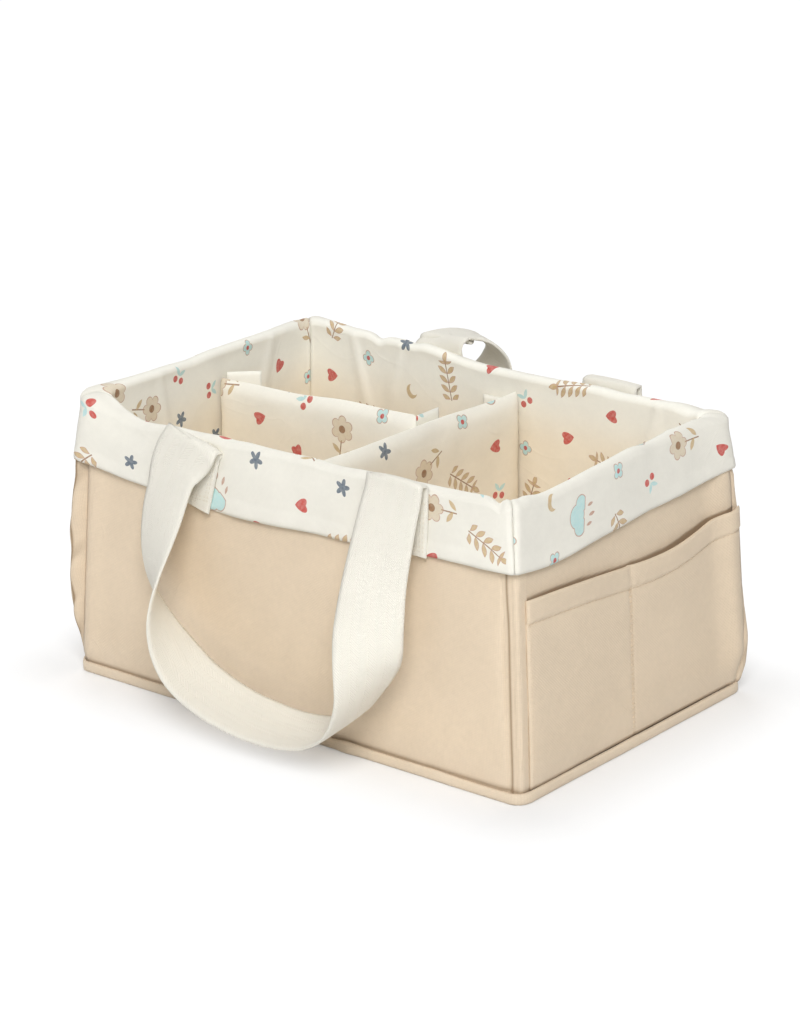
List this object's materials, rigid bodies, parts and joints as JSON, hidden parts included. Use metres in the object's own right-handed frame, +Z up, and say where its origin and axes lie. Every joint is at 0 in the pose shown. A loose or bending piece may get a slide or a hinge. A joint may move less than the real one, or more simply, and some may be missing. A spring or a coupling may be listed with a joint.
{
  "type": "diaper caddy",
  "caption": "Open-topped soft fabric basket with a folded-down cuff, removable padded dividers, end pockets and two fold-down webbing handles.",
  "frame": {"origin": "middle of the foot, on the ground", "axes": "+X along the basket to its right end, +Y to its back, +Z up"},
  "size_m": [0.3876, 0.3652, 0.2028],
  "materials": {
    "canvas": "sand coloured cotton canvas, matt",
    "lining": "cream cotton with a scattered small print, matt",
    "board": "stiff pressed felt board",
    "webbing": "cream cotton herringbone webbing",
    "tape": "cream hook and loop tape"
  },
  "bodies": {
    "basket": {"back_board": "board", "back_handle_left_end": "webbing", "back_handle_right_end": "webbing", "back_left_corner_strip": "canvas", "back_lining": "lining", "back_loop_tape": "tape", "back_panel": "canvas", "back_right_corner_strip": "canvas", "base_binding": "canvas", "base_board": "board", "base_lining": "lining", "base_panel": "canvas", "front_board": "board", "front_handle_left_end": "webbing", "front_handle_right_end": "webbing", "front_left_corner_strip": "canvas", "front_lining": "lining", "front_loop_tape": "tape", "front_panel": "canvas", "front_right_corner_strip": "canvas", "left_board": "board", "left_lining": "lining", "left_loop_tape": "tape", "left_panel": "canvas", "left_pocket": "canvas", "right_board": "board", "right_lining": "lining", "right_panel": "canvas", "right_pocket": "canvas"},
    "front_handle": {"front_handle_strap": "webbing"},
    "back_handle": {"back_handle_strap": "webbing"},
    "cross_divider": {"cross_divider_back_flap": "lining", "cross_divider_back_hook_tape": "tape", "cross_divider_core": "board", "cross_divider_cover": "lining", "cross_divider_front_flap": "lining", "cross_divider_front_hook_tape": "tape", "cross_divider_loop_tape": "tape"},
    "long_divider": {"long_divider_core": "board", "long_divider_cover": "lining", "long_divider_left_flap": "lining", "long_divider_left_hook_tape": "tape", "long_divider_right_flap": "lining", "long_divider_right_hook_tape": "tape"}
  },
  "joints": [
    {"name": "front_handle_swing", "type": "hinge", "parent": "basket", "child": "front_handle", "pos_m": [0, -0.11911, 0.193], "axis": [-1, 0, 0], "range_deg": [0, 160]},
    {"name": "back_handle_swing", "type": "hinge", "parent": "basket", "child": "back_handle", "pos_m": [0, 0.11911, 0.193], "axis": [1, 0, 0], "range_deg": [0, 160]},
    {"name": "cross_divider_lift", "type": "slide", "parent": "basket", "child": "cross_divider", "axis": [0, 0, 1], "range_m": [0, 0.2]},
    {"name": "long_divider_lift", "type": "slide", "parent": "basket", "child": "long_divider", "axis": [0, 0, 1], "range_m": [0, 0.2]}
  ]
}
